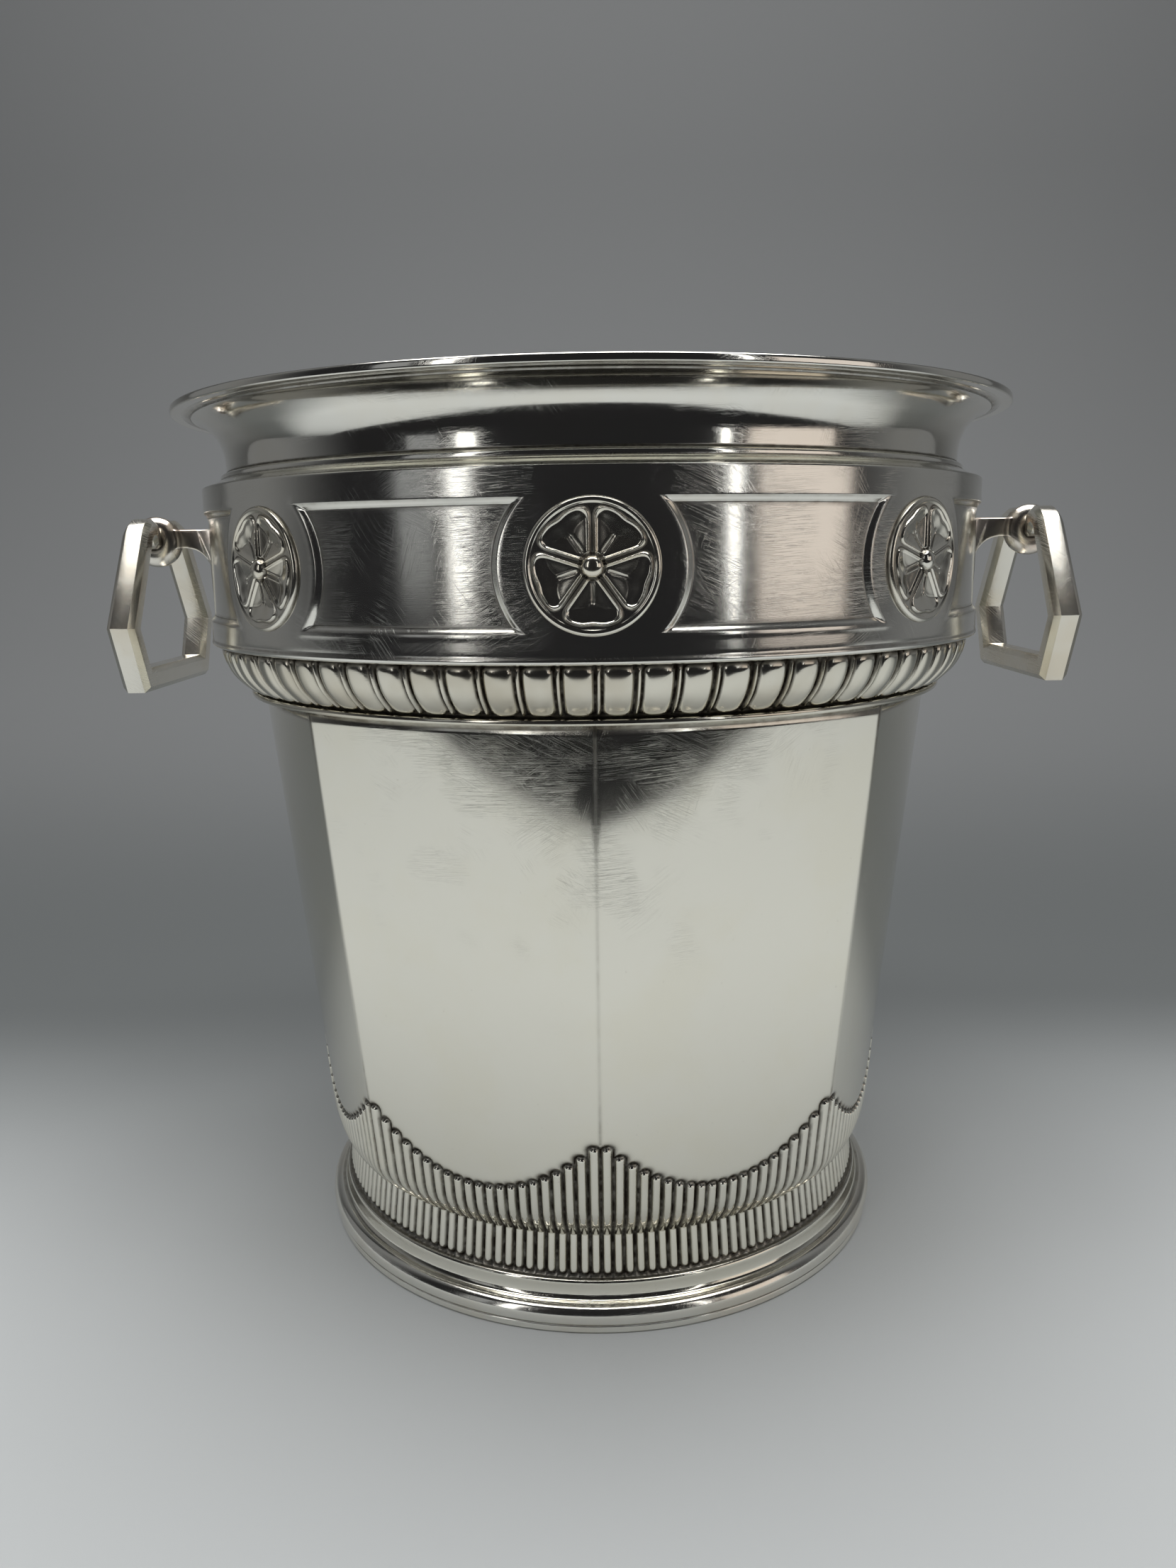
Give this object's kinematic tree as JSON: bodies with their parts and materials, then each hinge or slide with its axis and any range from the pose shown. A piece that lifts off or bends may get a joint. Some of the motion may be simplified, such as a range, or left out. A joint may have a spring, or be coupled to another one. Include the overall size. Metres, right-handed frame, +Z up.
{
  "type": "champagne bucket",
  "caption": "Octagonal tapering silver-plated champagne bucket with a flared round rim, rosette frieze, gadrooned border, reeded foot and swinging drop handles.",
  "frame": {"origin": "centre of the foot's underside, on the surface the bucket stands on", "axes": "+Z up; -Y to the front; the two handles are on +X and -X"},
  "size_m": [0.2474, 0.21, 0.215],
  "materials": {
    "silver_plate": "polished silver plate, brushed by wear",
    "silver_body": "polished silver plate with fine scratches",
    "silver_relief": "silver plate, oxidised in the recesses",
    "silver_handle": "worn silver plate, slightly warm",
    "silver_pin": "tarnished silver plate"
  },
  "bodies": {
    "bucket": {"body_shell": "silver_body", "floor_plate": "silver_plate", "foot_skirt": "silver_relief", "foot_ring": "silver_plate", "gadroon_ring": "silver_relief", "frieze_band": "silver_plate", "neck_collar": "silver_plate", "rim_ring": "silver_plate", "rosette_front": "silver_relief", "rosette_front_right": "silver_relief", "rosette_back_right": "silver_relief", "rosette_back": "silver_relief", "rosette_back_left": "silver_relief", "rosette_front_left": "silver_relief", "lug_plate_left": "silver_plate", "lug_plate_right": "silver_plate", "lug_left": "silver_handle", "lug_right": "silver_handle"},
    "handle_left": {"handle_left": "silver_handle", "pivot_pin_left": "silver_pin"},
    "handle_right": {"handle_right": "silver_handle", "pivot_pin_right": "silver_pin"}
  },
  "joints": [
    {"name": "handle_left_swing", "type": "hinge", "parent": "bucket", "child": "handle_left", "pos_m": [-0.117, 0, 0.1844], "axis": [0, 1, 0], "range_deg": [-28, 194]},
    {"name": "handle_right_swing", "type": "hinge", "parent": "bucket", "child": "handle_right", "pos_m": [0.117, 0, 0.1844], "axis": [0, -1, 0], "range_deg": [-28, 194]}
  ]
}
